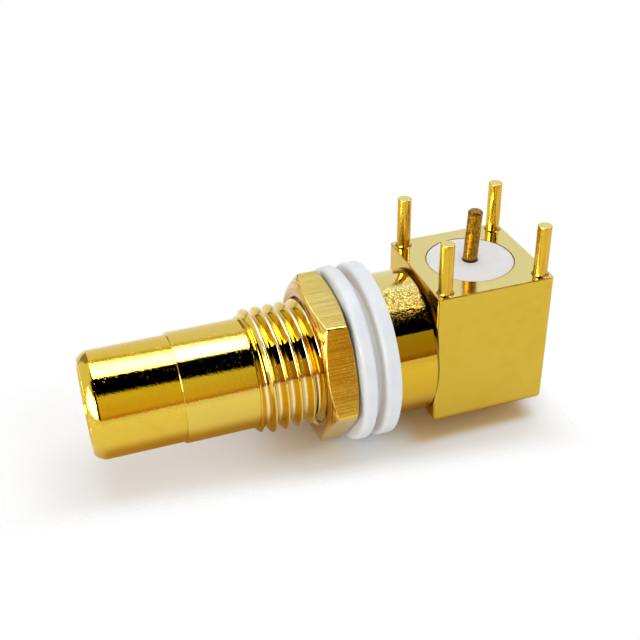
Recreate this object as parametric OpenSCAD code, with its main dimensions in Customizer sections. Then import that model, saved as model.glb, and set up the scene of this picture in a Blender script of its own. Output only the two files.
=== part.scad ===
// Right-angle phono socket for a panel and a circuit board.
// The barrel lies along X with its mouth towards -X, and the board legs point up along +Z.
// The origin is on the barrel's axis, at the inner face of the panel that the socket is fixed to.

/* [Shell] */
// Outside diameter of the barrel that the plug grips
barrel_d = 8.33; // [8.2:0.01:8.6]
// Length of the barrel from the mouth to the ring step
barrel_len = 6.8; // [6:0.1:9]
// Length of the broken edge round the mouth
rim_len = 0.8; // [0.5:0.05:1.2]
// Depth of the broken edge round the mouth
rim_drop = 0.5; // [0.3:0.05:0.6]
// Swell of the broken edge, as the angle between its chord and its ends
rim_swell = 18; // [5:1:25]
// Height of the ring step between barrel and shank
ring_step = 0.155; // [0.05:0.005:0.3]
// Length of the smooth shank between the ring step and the thread
shank_len = 5.6; // [3:0.1:8]
// Outside diameter of the threaded neck
thread_d = 9.9; // [9.5:0.05:10.6]
// Length of the threaded neck up to the collar
thread_len = 10.25; // [8:0.25:14]
// Lead-in chamfer at the front of the thread
thread_lead = 0.5; // [0.3:0.05:0.6]
// Outside diameter of the collar behind the thread
collar_d = 11.5; // [11:0.1:13]
// Length of the collar
collar_len = 3.7; // [3:0.1:6]
// Broken edge of the collar where it meets the block
collar_break = 0.25; // [0.1:0.05:0.4]
// Outside diameter of the spigot that is pressed into the block
spigot_d = 8; // [7.6:0.1:8.6]
// Length of the spigot
spigot_len = 2; // [1.5:0.1:2.2]
// Bore of the shell, which holds the insulators
shell_bore_d = 7; // [6.6:0.05:7.2]
// Bore of the lip at the mouth, which stops the front insulator
lip_d = 6.4; // [6:0.05:6.5]
// Length of the lip at the mouth
lip_len = 0.9; // [0.7:0.05:1.5]
// Broken inner edge of the lip
lip_break = 0.15; // [0.05:0.01:0.2]

/* [Block] */
// Length of the block along the barrel's axis
block_len = 9.7; // [9.5:0.1:12]
// Width of the block
block_w = 9.7; // [9.5:0.1:12]
// Height of the block's board face above the barrel's axis
block_rise = 6.3; // [6.2:0.1:8]
// Depth of the block's base below the barrel's axis
block_drop = 5.2; // [4.5:0.1:7]
// Rounding of the base's front and rear edges
base_round = 0.45; // [0.2:0.05:0.8]
// Rounding of the block's other edges
edge_round = 0.18; // [0.05:0.01:0.3]
// Bore behind the spigot, in which the contact's tail lies free
chamber_d = 6; // [5:0.1:6.4]
// Wall left between that bore and the block's rear face
rear_wall = 2; // [1.2:0.1:2.6]

/* [Legs] */
// Diameter of a leg
leg_d = 1.1; // [0.9:0.05:1.3]
// Diameter of the spigot that is pressed into the block
leg_spigot_d = 0.7; // [0.5:0.05:0.8]
// Length of a leg above the board face
leg_len = 4.2; // [2.5:0.1:6]
// Length of a leg's spigot
leg_seat = 3; // [2:0.1:3.2]
// Spacing of the legs along the barrel's axis
leg_span_x = 8; // [7.6:0.1:8]
// Spacing of the legs across the barrel's axis
leg_span_y = 8; // [7.6:0.1:8]
// Broken edge of a leg's tip
leg_break = 0.12; // [0.05:0.01:0.25]

/* [Signal pin] */
// Diameter of the signal pin
pin_d = 1.15; // [0.9:0.05:1.3]
// Length of the signal pin above the board face
pin_len = 4.25; // [2.5:0.05:6]
// Lean of the standing part of the pin towards the rear
pin_lean = 3; // [0:0.5:5]
// Length of the pin below the tail that it crosses
pin_foot = 0.4; // [0.2:0.05:0.8]
// Diameter of the insulating bush round the pin
bush_d = 7; // [5:0.1:7.2]
// Metal left between the bush and the spigot below it
bush_floor = 0.3; // [0.2:0.05:0.8]
// Diameter of the hole that leads the pin from the bush to the contact's tail
pin_way_d = 3; // [2:0.1:5]

/* [Centre contact] */
// Bore that takes the plug's pin
contact_bore_d = 3.2; // [3.1:0.05:3.3]
// Depth of that bore
contact_bore_len = 15; // [13:0.5:16]
// Outside diameter of the contact's sleeve
contact_d = 4.3; // [4.1:0.05:4.5]
// Distance of the contact's front end behind the mouth
contact_recess = 0.9; // [0.6:0.05:1.5]
// Number of slits that make the sleeve springy
slit_count = 4; // [2:1:4]
// Width of a slit
slit_w = 0.4; // [0.2:0.05:0.5]
// Length of a slit
slit_len = 9; // [6:0.5:12]
// Diameter of the ridge that holds the contact between the insulators
ridge_d = 5.5; // [5.1:0.05:5.8]
// Length of the ridge
ridge_len = 1.5; // [1:0.1:2.5]
// Diameter of the tail that reaches the signal pin
tail_d = 2.4; // [2.1:0.05:2.6]
// Length of the tail behind the signal pin
tail_end = 1.2; // [1:0.1:1.6]
// Angle of the drill point at the end of the bore
drill_angle = 118; // [90:1:140]

/* [Insulators] */
// Distance of the front insulator's face behind the mouth
insulator_recess = 0.35; // [0.1:0.05:0.6]
// Room round the sleeve's springs
spring_room = 0.25; // [0.15:0.05:0.35]
// Widening of the insulator's mouth, which guides the plug's pin
guide_flare = 0.3; // [0.1:0.05:0.4]

/* [Washers] */
// Outside diameter of both washers
washer_d = 14; // [13:0.1:18]
// Thickness of the washer under the nut
front_washer_t = 1.15; // [0.8:0.05:2]
// Thickness of the washer behind the panel
rear_washer_t = 1.2; // [0.8:0.05:2]
// Diameter of the rear washer's shoulder, which centres it in the panel hole
shoulder_d = 11.8; // [11.4:0.1:12.6]
// Length of the shoulder
shoulder_len = 0.65; // [0.4:0.05:1.5]
// Rounding of the washers' exposed edges
washer_round = 0.35; // [0.1:0.05:0.38]
// Rounding of the rear washer's back edge
washer_back_round = 0.1; // [0.05:0.01:0.3]

/* [Nut] */
// Distance of the nut's corners inside the washers' rim
nut_inset = 0.07; // [0.02:0.01:0.6]
// Thickness of the nut
nut_t = 2.5; // [2:0.1:3.5]
// Diameter of the nut's flat end faces, as a part of its width across flats
nut_face = 0.95; // [0.88:0.01:0.97]
// Slope of the chamfer on the nut's corners
nut_slope = 22; // [15:1:30]
// Turn of the nut, from a corner that points straight down
nut_angle = 39; // [0:1:59]
// Broken edge of the nut's bore
nut_break = 0.25; // [0.1:0.05:0.35]

/* [Clearances] */
// Gap round a piece that is pressed in
press_gap = 0.02; // [0.01:0.01:0.04]
// Gap between the nut's bore and the thread's crests
nut_gap = 0.05; // [0.03:0.01:0.1]
// Gap between the washers' bores and the thread's crests
washer_gap = 0.1; // [0.05:0.01:0.1]
// Gap round the signal pin in its bush
pin_gap = 0.05; // [0.03:0.01:0.1]

/* [Hidden] */
$fn = 96;

// Finishes
gold = [0.83, 0.66, 0.24];
brass = [0.70, 0.53, 0.19];
nylon = [0.93, 0.94, 0.95];
white_insulator = [0.95, 0.95, 0.93];
bronze = [0.47, 0.31, 0.15];

// Radii of the turned shell
barrel_r = barrel_d / 2;
shank_r = barrel_r + ring_step;
thread_r = thread_d / 2;
collar_r = collar_d / 2;
spigot_r = spigot_d / 2;
shell_bore_r = shell_bore_d / 2;
lip_r = lip_d / 2;

// Stations along the axis, from the panel's inner face
collar_x = rear_washer_t;
thread_x = collar_x - thread_len;
shank_x = thread_x - shank_len;
mouth_x = shank_x - barrel_len;
block_x = collar_x + collar_len;
spigot_end_x = block_x + spigot_len;
block_mid_x = block_x + block_len / 2;
block_end_x = block_x + block_len;
chamber_end_x = block_end_x - rear_wall;
front_washer_x = -shoulder_len - front_washer_t;
nut_x = front_washer_x - nut_t;
contact_x = mouth_x + contact_recess;
ridge_x = collar_x - ridge_len;
tail_end_x = block_mid_x + tail_end;
slit_end_x = contact_x + slit_len;

// Height of the bush's seat above the axis
bush_seat_z = spigot_r + bush_floor;

// Sizes of the nut, which the washers reach past on all sides
nut_corner_r = washer_d / 2 - nut_inset;
nut_face_r = nut_corner_r * cos(30) * nut_face;

// Rim arc between the mouth's face and the barrel
rim_chord = norm([rim_len, rim_drop]);
rim_radius = rim_chord / (2 * sin(rim_swell));
rim_slope = atan(rim_drop / rim_len);
rim_steps = 6;

// Overshoot of cuts past the faces they open
cut = 1;

// Stands a profile of [radius, station] round the barrel's axis
module turned() {
    rotate([0, 90, 0]) rotate_extrude() children();
}

// Round hole or rod along the axis between two stations
module along_axis(radius, from_x, to_x) {
    translate([from_x, 0, 0]) rotate([0, 90, 0]) cylinder(r = radius, h = to_x - from_x);
}

// Section of a ring whose outer edges are rounded, starting at station 0
module ring_section(inner_r, outer_r, length, front_round, back_round) {
    translate([inner_r, 0]) square([outer_r - front_round - inner_r, front_round]);
    translate([inner_r, front_round]) square([outer_r - inner_r, length - front_round - back_round]);
    translate([inner_r, length - back_round]) square([outer_r - back_round - inner_r, back_round]);
    translate([outer_r - front_round, front_round]) circle(r = front_round);
    translate([outer_r - back_round, length - back_round]) circle(r = back_round);
}

// Upright outline with rounded corners, centred above its base line
module upright_outline(width, height, low_round, high_round) {
    translate([low_round - width / 2, 0]) square([width - 2 * low_round, low_round]);
    translate([-width / 2, low_round]) square([width, height - low_round - high_round]);
    translate([high_round - width / 2, height - high_round]) square([width - 2 * high_round, high_round]);
    for (side = [-1, 1]) {
        translate([side * (width / 2 - low_round), low_round]) circle(r = low_round);
        translate([side * (width / 2 - high_round), height - high_round]) circle(r = high_round);
    }
}

// Points of the swollen rim, from the mouth's face to the barrel
function rim_point(angle) = [
    barrel_r - rim_radius * (cos(rim_slope - rim_swell) - cos(angle)),
    mouth_x + rim_len - rim_radius * (sin(angle) - sin(rim_slope - rim_swell))
];
rim_points = [
    for (step = [0 : rim_steps]) rim_point(rim_slope + rim_swell - 2 * rim_swell * step / rim_steps)
];

module shell() {
    color(gold)
        turned()
            polygon(concat(
                [[lip_r + lip_break, mouth_x]],
                rim_points,
                [
                    [barrel_r, shank_x],
                    [shank_r, shank_x],
                    [shank_r, thread_x],
                    [thread_r - thread_lead, thread_x],
                    [thread_r, thread_x + thread_lead],
                    [thread_r, collar_x],
                    [collar_r, collar_x],
                    [collar_r, block_x - collar_break],
                    [collar_r - collar_break, block_x],
                    [spigot_r, block_x],
                    [spigot_r, spigot_end_x],
                    [shell_bore_r, spigot_end_x],
                    [shell_bore_r, mouth_x + lip_len],
                    [lip_r, mouth_x + lip_len],
                    [lip_r, mouth_x + lip_break]
                ]
            ));
}

// Block before boring, with the base's cross edges rounded more than the rest
module block_blank() {
    block_h = block_rise + block_drop;
    intersection() {
        translate([block_mid_x, 0, -block_drop])
            rotate([90, 0, 0])
                linear_extrude(block_w, center = true)
                    upright_outline(block_len, block_h, base_round, edge_round);
        translate([block_mid_x, 0, -block_drop])
            rotate([90, 0, 90])
                linear_extrude(block_len, center = true)
                    upright_outline(block_w, block_h, edge_round, edge_round);
        translate([block_mid_x, -block_w / 2, -block_drop])
            linear_extrude(block_h)
                upright_outline(block_len, block_w, edge_round, edge_round);
    }
}

// Puts a copy at each corner of the leg pattern
module at_leg(side_x, side_y) {
    translate([block_mid_x + side_x * leg_span_x / 2, side_y * leg_span_y / 2, block_rise]) children();
}

module block() {
    color(gold)
        difference() {
            block_blank();
            along_axis(spigot_r + press_gap, block_x - cut, spigot_end_x);
            along_axis(chamber_d / 2, block_x - cut, chamber_end_x);
            translate([block_mid_x, 0, bush_seat_z])
                cylinder(d = bush_d + 2 * press_gap, h = block_rise - bush_seat_z + cut);
            translate([block_mid_x, 0, 0]) cylinder(d = pin_way_d, h = block_rise);
            for (side_x = [-1, 1])
                for (side_y = [-1, 1])
                    at_leg(side_x, side_y)
                        translate([0, 0, -leg_seat])
                            cylinder(d = leg_spigot_d + 2 * press_gap, h = leg_seat + cut);
        }
}

module leg(side_x, side_y) {
    color(gold)
        at_leg(side_x, side_y)
            rotate_extrude()
                polygon([
                    [0, -leg_seat],
                    [leg_spigot_d / 2, -leg_seat],
                    [leg_spigot_d / 2, 0],
                    [leg_d / 2, 0],
                    [leg_d / 2, leg_len - leg_break],
                    [leg_d / 2 - leg_break, leg_len],
                    [0, leg_len]
                ]);
}

module pin_bush() {
    color(white_insulator)
        translate([block_mid_x, 0, 0])
            difference() {
                translate([0, 0, bush_seat_z]) cylinder(d = bush_d, h = block_rise - bush_seat_z);
                cylinder(d = pin_d + 2 * pin_gap, h = block_rise + cut);
            }
}

// The pin bends where it leaves the bush: both parts end on the plane that halves the bend
module signal_pin() {
    sunk_len = block_rise + tail_d / 2 + pin_foot;
    half_space = 2 * (sunk_len + pin_len);
    color(bronze)
        translate([block_mid_x, 0, block_rise]) {
            difference() {
                translate([0, 0, -sunk_len]) cylinder(d = pin_d, h = sunk_len + pin_d);
                rotate([0, pin_lean / 2, 0])
                    translate([-half_space / 2, -half_space / 2, 0]) cube(half_space);
            }
            difference() {
                rotate([0, pin_lean, 0])
                    translate([0, 0, -pin_d])
                        rotate_extrude()
                            polygon([
                                [0, 0],
                                [pin_d / 2, 0],
                                [pin_d / 2, pin_d + pin_len - leg_break],
                                [pin_d / 2 - leg_break, pin_d + pin_len],
                                [0, pin_d + pin_len]
                            ]);
                rotate([0, pin_lean / 2, 0])
                    translate([-half_space / 2, -half_space / 2, -half_space]) cube(half_space);
            }
        }
}

module front_insulator() {
    face_x = mouth_x + insulator_recess;
    nose_r = lip_r - press_gap;
    body_r = shell_bore_r - press_gap;
    sleeve_r = contact_d / 2 + press_gap;
    spring_r = contact_d / 2 + spring_room;
    pocket_r = ridge_d / 2 + press_gap;
    color(white_insulator)
        turned()
            polygon([
                [spring_r + guide_flare, face_x],
                [nose_r, face_x],
                [nose_r, mouth_x + lip_len],
                [body_r, mouth_x + lip_len],
                [body_r, collar_x],
                [pocket_r, collar_x],
                [pocket_r, ridge_x],
                [sleeve_r, ridge_x],
                [sleeve_r, slit_end_x],
                [spring_r, slit_end_x],
                [spring_r, face_x + guide_flare]
            ]);
}

module centre_contact() {
    sleeve_r = contact_d / 2;
    bore_r = contact_bore_d / 2;
    bore_end_x = contact_x + contact_bore_len;
    drill_len = bore_r / tan(drill_angle / 2);
    edge = (sleeve_r - bore_r) / 3;
    color(gold)
        difference() {
            turned()
                polygon([
                    [bore_r + edge, contact_x],
                    [sleeve_r - edge, contact_x],
                    [sleeve_r, contact_x + edge],
                    [sleeve_r, ridge_x],
                    [ridge_d / 2, ridge_x],
                    [ridge_d / 2, collar_x],
                    [tail_d / 2, collar_x],
                    [tail_d / 2, tail_end_x],
                    [0, tail_end_x],
                    [0, bore_end_x + drill_len],
                    [bore_r, bore_end_x],
                    [bore_r, contact_x + edge]
                ]);
            for (slit = [0 : slit_count - 1])
                rotate([360 / slit_count * slit, 0, 0])
                    translate([contact_x - cut, -slit_w / 2, 0])
                        cube([slit_len + cut, slit_w, contact_d]);
            translate([block_mid_x, 0, -tail_d])
                cylinder(d = pin_d + 2 * press_gap, h = 2 * tail_d);
        }
}

module rear_insulator() {
    color(white_insulator)
        difference() {
            along_axis(shell_bore_r - press_gap, collar_x, spigot_end_x);
            along_axis(tail_d / 2 + press_gap, collar_x - cut, spigot_end_x + cut);
        }
}

module rear_washer() {
    bore_r = thread_r + washer_gap;
    color(nylon)
        turned() {
            ring_section(bore_r, washer_d / 2, rear_washer_t, washer_round, washer_back_round);
            translate([bore_r, -shoulder_len]) square([shoulder_d / 2 - bore_r, shoulder_len]);
        }
}

module front_washer() {
    color(nylon)
        turned()
            translate([0, front_washer_x])
                ring_section(thread_r + washer_gap, washer_d / 2, front_washer_t, washer_round, washer_round);
}

module hex_nut() {
    bore_r = thread_r + nut_gap;
    chamfer_len = (nut_corner_r - nut_face_r) * tan(nut_slope);
    color(brass)
        translate([nut_x, 0, 0])
            rotate([nut_angle, 0, 0])
                difference() {
                    intersection() {
                        rotate([0, 90, 0]) cylinder(r = nut_corner_r, h = nut_t, $fn = 6);
                        turned()
                            polygon([
                                [0, 0],
                                [nut_face_r, 0],
                                [nut_corner_r, chamfer_len],
                                [nut_corner_r, nut_t - chamfer_len],
                                [nut_face_r, nut_t],
                                [0, nut_t]
                            ]);
                    }
                    turned()
                        polygon([
                            [0, -cut],
                            [bore_r + nut_break + cut, -cut],
                            [bore_r, nut_break],
                            [bore_r, nut_t - nut_break],
                            [bore_r + nut_break + cut, nut_t + cut],
                            [0, nut_t + cut]
                        ]);
                }
}

shell();
block();
leg(-1, 1);  // leg_front_left
leg(-1, -1);  // leg_front_right
leg(1, 1);  // leg_rear_left
leg(1, -1);  // leg_rear_right
pin_bush();
signal_pin();
front_insulator();
centre_contact();
rear_insulator();
rear_washer();
front_washer();
hex_nut();
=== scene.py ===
"""Looks, studio and camera for a gold-plated right-angle phono socket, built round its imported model."""

import math

import bmesh
import bpy
from bpy.props import FloatProperty, FloatVectorProperty, IntProperty, PointerProperty
from mathutils import Euler, Matrix, Vector


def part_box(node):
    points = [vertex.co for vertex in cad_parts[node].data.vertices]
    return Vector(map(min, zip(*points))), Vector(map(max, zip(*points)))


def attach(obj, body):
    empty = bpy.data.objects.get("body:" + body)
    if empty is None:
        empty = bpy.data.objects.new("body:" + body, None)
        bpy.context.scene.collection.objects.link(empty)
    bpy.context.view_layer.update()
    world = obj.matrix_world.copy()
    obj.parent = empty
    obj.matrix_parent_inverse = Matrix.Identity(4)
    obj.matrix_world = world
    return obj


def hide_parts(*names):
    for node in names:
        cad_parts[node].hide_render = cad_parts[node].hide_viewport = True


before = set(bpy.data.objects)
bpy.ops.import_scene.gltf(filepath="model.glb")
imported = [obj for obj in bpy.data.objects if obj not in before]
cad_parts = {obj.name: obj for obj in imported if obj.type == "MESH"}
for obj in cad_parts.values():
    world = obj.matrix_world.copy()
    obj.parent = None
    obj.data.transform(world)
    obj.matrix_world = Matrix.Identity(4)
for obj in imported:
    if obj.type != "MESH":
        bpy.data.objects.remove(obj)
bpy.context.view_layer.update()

bl_info = {
    "name": "Panel Phono Socket",
    "version": (1, 0, 0),
    "blender": (4, 5, 0),
    "location": "View3D > Sidebar > Socket",
    "description": "Dresses the packed model of a panel phono socket and sets its studio",
    "category": "Object",
}

MM = 0.001
# Points closer together than this become one point
NEAR = 1e-8
SHELL_LOW, SHELL_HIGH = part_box("shell")
REAR_WASHER_LOW, REAR_WASHER_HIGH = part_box("rear_washer")
BLOCK_LOW, BLOCK_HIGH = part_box("block")
NUT_LOW, NUT_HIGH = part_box("hex_nut")
PIN_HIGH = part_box("signal_pin")[1]
BUSH_LOW, BUSH_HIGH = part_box("pin_bush")
LEGS = ("leg_front_left", "leg_front_right", "leg_rear_left", "leg_rear_right")


def length(name, description, millimetres):
    """A size given in millimetres, which shows in the scene's length unit."""
    return FloatProperty(name=name, description=description, default=millimetres * MM, unit="LENGTH",
                         precision=5, min=0)


def share(name, description, default):
    """A plain number from 0 to 1."""
    return FloatProperty(name=name, description=description, default=default, subtype="FACTOR", min=0, max=1)


def in_degrees(name, description, degrees):
    """An angle, given in degrees."""
    return FloatProperty(name=name, description=description, default=math.radians(degrees), subtype="ANGLE")


def round_steps(description, default, most, least=16):
    """How many straight steps make a round."""
    return IntProperty(name="Facets", description=description, default=default, min=least, max=most)


def brightness(name, description, default):
    """How bright a light looks in the metal."""
    return FloatProperty(name=name, description=description, default=default, min=0)


def power(name, description, default):
    """The power of a lamp for matte surfaces."""
    return FloatProperty(name=name, description=description, default=default, unit="POWER", min=0)


def colour(name, description, default):
    """A linear colour."""
    return FloatVectorProperty(name=name, description=description, default=default, subtype="COLOR", size=3,
                               min=0, max=1)


class ShellSizes(bpy.types.PropertyGroup):
    """Sizes of the turned shell and its thread."""

    barrel_radius: length("Barrel radius", "Radius of the barrel that the plug's skirt grips", 4.165)
    barrel_length: length("Barrel length", "Mouth to the ring step", 6.8)
    rim_length: length("Rim length", "Length of the swollen rim along the axis", 0.8)
    rim_drop: length("Rim drop", "How far the rim falls in at the mouth", 0.5)
    shank_radius: length("Shank radius", "Radius between the ring step and the thread", 4.32)
    step_break: length("Step break", "Broken edge of the ring step", 0.03)
    shank_length: length("Shank length", "Ring step to the start of the thread", 5.6)
    thread_radius: length("Thread radius", "Radius at the thread's crests", 4.95)
    thread_lead: length("Thread lead", "Chamfer at the start of the thread", 0.42)
    pitch: length("Pitch", "Advance of the thread in one turn", 1.0)
    crest: length("Crest", "Width of the flat crest", 0.06)
    crest_round: length("Crest round", "Worn edge on each side of the crest", 0.05)
    root_round: length("Root round", "Rounding of the thread's root", 0.17)
    flank: in_degrees("Flank", "Lean of each flank", 30)
    start: share("Thread start", "Turn at which the first crest meets the front", 0.0)
    collar_radius: length("Collar radius", "Radius of the collar against the block", 5.75)
    collar_break: length("Collar break", "Chamfer where the collar meets the block", 0.25)
    collar_length: length("Collar length", "Rear washer to the block", 3.7)
    spigot_radius: length("Spigot radius", "Radius of the spigot in the block", 4.0)
    bore_radius: length("Bore radius", "Bore that holds the insulators", 3.5)
    lip_radius: length("Lip radius", "Opening of the mouth", 3.2)
    lip_length: length("Lip length", "Depth of the mouth's lip", 0.9)
    lip_break: length("Lip break", "Edge break of the mouth", 0.15)
    facets: round_steps("Steps round the axis", 240, 480, least=48)


class BlockSizes(bpy.types.PropertyGroup):
    """Sizes of the milled block."""

    corner_round: length("Corner round", "Rounding of the upright edges", 0.32)
    base_round: length("Base round", "Height of the rounding round the base", 0.5)
    top_break: length("Top break", "Broken edge of the board face", 0.07)
    spigot_bore: length("Spigot bore", "Radius of the bore for the shell's spigot", 4.02)
    chamber_radius: length("Chamber radius", "Radius of the room round the contact's tail", 3.0)
    rear_wall: length("Rear wall", "Wall behind that room", 2.0)
    bush_bore: length("Bush bore", "Radius of the seat for the white bush", 3.52)
    pin_way: length("Pin way", "Radius of the hole that leads the pin to the contact", 1.5)
    leg_bore: length("Leg bore", "Radius of a leg's hole", 0.37)
    facets: round_steps("Steps round a bore", 128, 256)


class LegSizes(bpy.types.PropertyGroup):
    """Sizes of the four board legs."""

    radius: length("Leg radius", "Radius above the block", 0.55)
    spigot_radius: length("Spigot radius", "Radius in the block", 0.35)
    foot: length("Foot", "Radius of the hollow fillet at the block", 0.14)
    tip: length("Tip", "Rounding of the top edge", 0.07)
    facets: round_steps("Steps round the leg", 64, 128)


class BushSizes(bpy.types.PropertyGroup):
    """Sizes of the white bush round the signal pin."""

    hole_radius: length("Hole radius", "Hole that the pin stands in", 0.625)
    edge_break: length("Edge break", "Chamfer of the top edge against the block", 0.09)
    facets: round_steps("Steps round the bush", 128, 256)


class NutSizes(bpy.types.PropertyGroup):
    """Sizes of the panel nut."""

    corner_radius: length("Corner radius", "Axis to the sharp corners of the hexagon", 6.93)
    corner_round: length("Corner round", "Rounding of the worn corners", 0.3)
    face_radius: length("Face radius", "Radius of the flat end faces", 5.7)
    bore_radius: length("Bore radius", "Bore over the thread's crests", 5.0)
    bore_break: length("Bore break", "Chamfer of the bore", 0.25)
    edge_break: length("Edge break", "Worn edge between the flats and the chamfers", 0.05)
    slope: in_degrees("Slope", "Slope of the chamfer on the corners", 22)
    turn: in_degrees("Turn", "Turn of the nut from a corner that points down", 39)


class Finishes(bpy.types.PropertyGroup):
    """Colours of the finishes."""

    gold: colour("Gold", "Polished gold plate", (0.78, 0.535, 0.062))
    gold_deep: colour("Deep gold", "Thicker, warmer patches of the plate", (0.74, 0.47, 0.04))
    gold_pale: colour("Pale gold", "Thinner plate on the shank", (0.77, 0.56, 0.10))
    # Painted sheen: paler gold for surfaces that face up, standing in for the light they reflect
    gold_top_sheen: colour("Hazy gold", "Haze on surfaces that face up", (0.80, 0.67, 0.26))
    gold_warm: colour("Warm gold", "Thicker plate on the collar and the legs", (0.70, 0.44, 0.034))
    # Painted highlight: pale gold on the thread's crests and roots, standing in for a bright reflection
    gold_thread_glint: colour("Worn gold", "Gold rubbed pale on the thread", (0.92, 0.86, 0.64))
    # Real streaks on the legs, and also a painted dark reflection on the block's upper edges and painted
    # shade round the nut's bore and in the bush's groove
    gold_amber_and_shade: colour("Amber gold", "Streaks, stains and rounded edges", (0.55, 0.24, 0.03))
    brass: colour("Brass", "Brushed nut", (0.90, 0.62, 0.09))
    brass_deep: colour("Deep brass", "Grooves between the brush lines", (0.72, 0.43, 0.045))
    brass_bare: colour("Bare brass", "Turned faces of the nut", (0.76, 0.66, 0.48))
    bronze: colour("Bronze", "Signal pin", (0.48, 0.26, 0.018))
    bronze_deep: colour("Deep bronze", "Dull spots of the signal pin", (0.18, 0.08, 0.005))
    nylon: colour("Nylon", "White washers", (0.77, 0.79, 0.81))
    # Painted shade: warm tone for the rear washer's face deep in the gap
    nylon_gap_shade: colour("Warm nylon", "Nylon in the gap, lit by the gold behind it", (0.86, 0.74, 0.61))
    insulator: colour("Insulator", "White insulators", (0.79, 0.79, 0.78))
    # Real dark tool rings on the nut's faces, and also painted shade at the collar's joint, the legs' feet
    # and the nut's back edge
    grime_and_shade: colour("Grime", "Dirt in joints and worn grooves", (0.16, 0.09, 0.03))


class Studio(bpy.types.PropertyGroup):
    """Camera and light."""

    lens: FloatProperty(name="Lens", description="Focal length on a 36 mm sensor", default=57.758,
                        unit="CAMERA")
    camera_place: FloatVectorProperty(name="Camera place", description="Where the camera stands",
                                      default=(-23.98 * MM, -63.37 * MM, 46.56 * MM), size=3,
                                      subtype="TRANSLATION", unit="LENGTH", precision=5)
    camera_turn: FloatVectorProperty(name="Camera turn", description="How the camera is turned",
                                     default=[math.radians(turn) for turn in (57.15615, 1.07926, -19.12333)],
                                     size=3, subtype="EULER")
    floor: colour("Floor", "Colour of the pale table", (0.97, 0.97, 0.97))
    # Painted shadow: warm shade on the table under the block and the nut
    painted_shadow: colour("Glow", "Table that the gold above it tints", (0.80, 0.60, 0.32))
    key: brightness("Key", "Brightness of the overhead light in the metal", 12.0)
    side: brightness("Side", "Brightness of the low light in the metal", 16.0)
    overhead_power: power("Overhead lamp", "Power from above on matte surfaces", 2.4)
    front_power: power("Front lamp", "Power from beside the camera on matte surfaces", 1.8)
    side_power: power("Side lamp", "Power from beyond the mouth on matte surfaces", 1.6)
    lamp_tint: colour("Lamp tint", "Cool white of the front and side lamps", (0.97, 0.99, 1.0))
    fill: colour("Fill", "Even light on matte surfaces", (0.72, 0.72, 0.72))
    # Painted shade: the table under the part as only the metal shows it
    shade_in_metal: colour("Bounce", "Table under the part, seen in the metal", (0.68, 0.46, 0.12))
    backdrop: colour("Backdrop", "Pale room behind, seen in the metal", (0.88, 0.90, 0.92))
    frame_line: colour("Frame", "Darker frame of the overhead light", (0.60, 0.55, 0.42))
    unlit: colour("Unlit", "Unlit room behind the mouth", (0.32, 0.27, 0.15))
    card_high: colour("Card top", "Top of the warm screen in front", (0.75, 0.67, 0.14))
    card: colour("Card", "Middle of the warm screen", (0.74, 0.55, 0.09))
    card_low: colour("Card foot", "Foot of the warm screen", (0.58, 0.25, 0.035))


class Socket(bpy.types.PropertyGroup):
    """All settings of the socket."""

    shell: PointerProperty(type=ShellSizes)
    block: PointerProperty(type=BlockSizes)
    leg: PointerProperty(type=LegSizes)
    bush: PointerProperty(type=BushSizes)
    nut: PointerProperty(type=NutSizes)
    finishes: PointerProperty(type=Finishes)
    studio: PointerProperty(type=Studio)


# Shader building blocks

def new_material(name):
    """An empty node material with its shader and output."""
    material = bpy.data.materials.new(name)
    material.use_nodes = True
    tree = material.node_tree
    tree.nodes.clear()
    shader = tree.nodes.new("ShaderNodeBsdfPrincipled")
    output = tree.nodes.new("ShaderNodeOutputMaterial")
    tree.links.new(shader.outputs["BSDF"], output.inputs["Surface"])
    return material, tree, shader


def tree_of(*values):
    """The node tree of the first socket among these values."""
    return next(value.id_data for value in values if isinstance(value, bpy.types.NodeSocket))


def plug(socket, value):
    """Links a socket to an input, or sets the input's own value."""
    if isinstance(value, bpy.types.NodeSocket):
        socket.id_data.links.new(value, socket)
    else:
        socket.default_value = value


def arithmetic(operation, *values):
    """One step of arithmetic on numbers."""
    node = tree_of(*values).nodes.new("ShaderNodeMath")
    node.operation = operation
    for socket, value in zip(node.inputs, values):
        plug(socket, value)
    return node.outputs[0]


def ramped(value, low, high, low_to=0.0, high_to=1.0):
    """A smooth step from one value to another."""
    node = tree_of(value).nodes.new("ShaderNodeMapRange")
    node.interpolation_type = "SMOOTHSTEP"
    plug(node.inputs["Value"], value)
    for name, number in (("From Min", low), ("From Max", high), ("To Min", low_to), ("To Max", high_to)):
        node.inputs[name].default_value = number
    return node.outputs["Result"]


def mixed(factor, first, second):
    """A colour between two colours."""
    node = tree_of(factor, first, second).nodes.new("ShaderNodeMix")
    node.data_type = "RGBA"
    plug(node.inputs["Factor"], factor)
    for name, tone in (("A", first), ("B", second)):
        plug(node.inputs[name], tone if isinstance(tone, bpy.types.NodeSocket) else (*tone, 1.0))
    return node.outputs["Result"]


def darker(tone, factor):
    """A plain colour times a number."""
    return [channel * factor for channel in tone]


def product(*masks):
    """All masks at once."""
    result = masks[0]
    for mask in masks[1:]:
        result = arithmetic("MULTIPLY", result, mask)
    return result


def without(mask):
    """Where a mask is not."""
    return arithmetic("SUBTRACT", 1.0, mask)


def band(value, start, full, full_end, end, most=1.0):
    """A mask that rises between two values and falls again between two more."""
    return product(ramped(value, start, full), ramped(value, end, full_end, 0.0, most))


def apart(value, centre=0.0):
    """How far a number is from a centre."""
    return arithmetic("ABSOLUTE", arithmetic("SUBTRACT", value, centre))


def hypotenuse(first, second):
    """The distance that two numbers at right angles span."""
    return arithmetic("SQRT", arithmetic("MULTIPLY_ADD", first, first, product(second, second)))


def dimmed(tone, factor):
    """A colour times a number."""
    node = tree_of(tone, factor).nodes.new("ShaderNodeVectorMath")
    node.operation = "SCALE"
    plug(node.inputs[0], tone)
    plug(node.inputs["Scale"], factor)
    return node.outputs["Vector"]


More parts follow.
